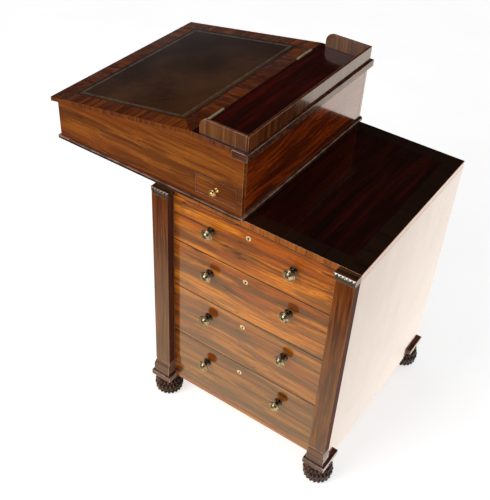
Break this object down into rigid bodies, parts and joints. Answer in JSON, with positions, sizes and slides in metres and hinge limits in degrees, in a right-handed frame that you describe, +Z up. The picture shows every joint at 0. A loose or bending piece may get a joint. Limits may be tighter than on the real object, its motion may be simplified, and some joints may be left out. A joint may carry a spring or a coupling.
{
  "type": "davenport desk",
  "caption": "Small writing desk: a chest of side drawers on bun feet carries a sliding box with a sloping leather-topped lid, a pen drawer and a low gallery.",
  "frame": {"origin": "on the floor, under the middle of the whole desk as it stands with its box drawn forward", "axes": "+Z up; the writer sits at -Y and faces +Y, away from the knee panel; the drawers open along +X"},
  "size_m": [0.5562, 0.8336, 0.8787],
  "materials": {
    "rosewood": "French polished",
    "carcass_wood": "planed, unpolished",
    "brass": "lacquered, tarnished",
    "leather": "worn, tooled",
    "steel": "plain"
  },
  "bodies": {
    "chest": {"base_top": "rosewood", "back_panel": "rosewood", "knee_panel": "rosewood", "left_panel": "rosewood", "bottom_board": "carcass_wood", "bottom_rail": "rosewood", "top_rail": "carcass_wood", "drawer_stiles": "carcass_wood", "drawer_guides": "carcass_wood", "dust_boards": "carcass_wood", "pilasters": "rosewood", "capitals": "rosewood", "plinths": "rosewood", "bun_feet": "rosewood", "foot_glides": "steel", "slide_tongue": "carcass_wood"},
    "slope_box": {"box_left_wall": "rosewood", "box_right_wall": "rosewood", "box_front_wall": "rosewood", "box_back_wall": "rosewood", "box_floor": "carcass_wood", "slope_lock": "brass", "box_moulding": "rosewood", "fixed_top": "rosewood", "ledge_moulding": "rosewood", "gallery_rail": "rosewood", "gallery_ears": "rosewood", "box_guides": "carcass_wood", "pen_housing": "carcass_wood", "hinge_fixed_leaves": "brass", "hinge_pins": "steel"},
    "pen_drawer": {"pen_drawer_front": "rosewood", "pen_drawer_tray": "carcass_wood", "pen_drawer_knob": "brass"},
    "lid": {"lid_board": "rosewood", "lid_leather": "leather", "lid_catch": "brass", "hinge_lid_leaves": "brass"},
    "drawer_1": {"drawer_1_front": "rosewood", "drawer_1_walls": "carcass_wood", "drawer_1_bottom": "carcass_wood", "drawer_1_knobs": "brass", "drawer_1_lock": "brass"},
    "drawer_2": {"drawer_2_front": "rosewood", "drawer_2_walls": "carcass_wood", "drawer_2_bottom": "carcass_wood", "drawer_2_knobs": "brass", "drawer_2_lock": "brass"},
    "drawer_3": {"drawer_3_front": "rosewood", "drawer_3_walls": "carcass_wood", "drawer_3_bottom": "carcass_wood", "drawer_3_knobs": "brass", "drawer_3_lock": "brass"},
    "drawer_4": {"drawer_4_front": "rosewood", "drawer_4_walls": "carcass_wood", "drawer_4_bottom": "carcass_wood", "drawer_4_knobs": "brass", "drawer_4_lock": "brass"}
  },
  "joints": [
    {"name": "box_slide", "type": "slide", "parent": "chest", "child": "slope_box", "axis": [0, 1, 0], "range_m": [0, 0.283]},
    {"name": "lid_hinge", "type": "hinge", "parent": "slope_box", "child": "lid", "pos_m": [-0.011, -0.01615, 0.8427], "axis": [-1, 0, 0], "range_deg": [0, 134]},
    {"name": "pen_drawer_slide", "type": "slide", "parent": "slope_box", "child": "pen_drawer", "axis": [1, 0, 0], "range_m": [0, 0.15]},
    {"name": "drawer_1_slide", "type": "slide", "parent": "chest", "child": "drawer_1", "axis": [1, 0, 0], "range_m": [0, 0.33]},
    {"name": "drawer_2_slide", "type": "slide", "parent": "chest", "child": "drawer_2", "axis": [1, 0, 0], "range_m": [0, 0.33]},
    {"name": "drawer_3_slide", "type": "slide", "parent": "chest", "child": "drawer_3", "axis": [1, 0, 0], "range_m": [0, 0.33]},
    {"name": "drawer_4_slide", "type": "slide", "parent": "chest", "child": "drawer_4", "axis": [1, 0, 0], "range_m": [0, 0.33]}
  ]
}
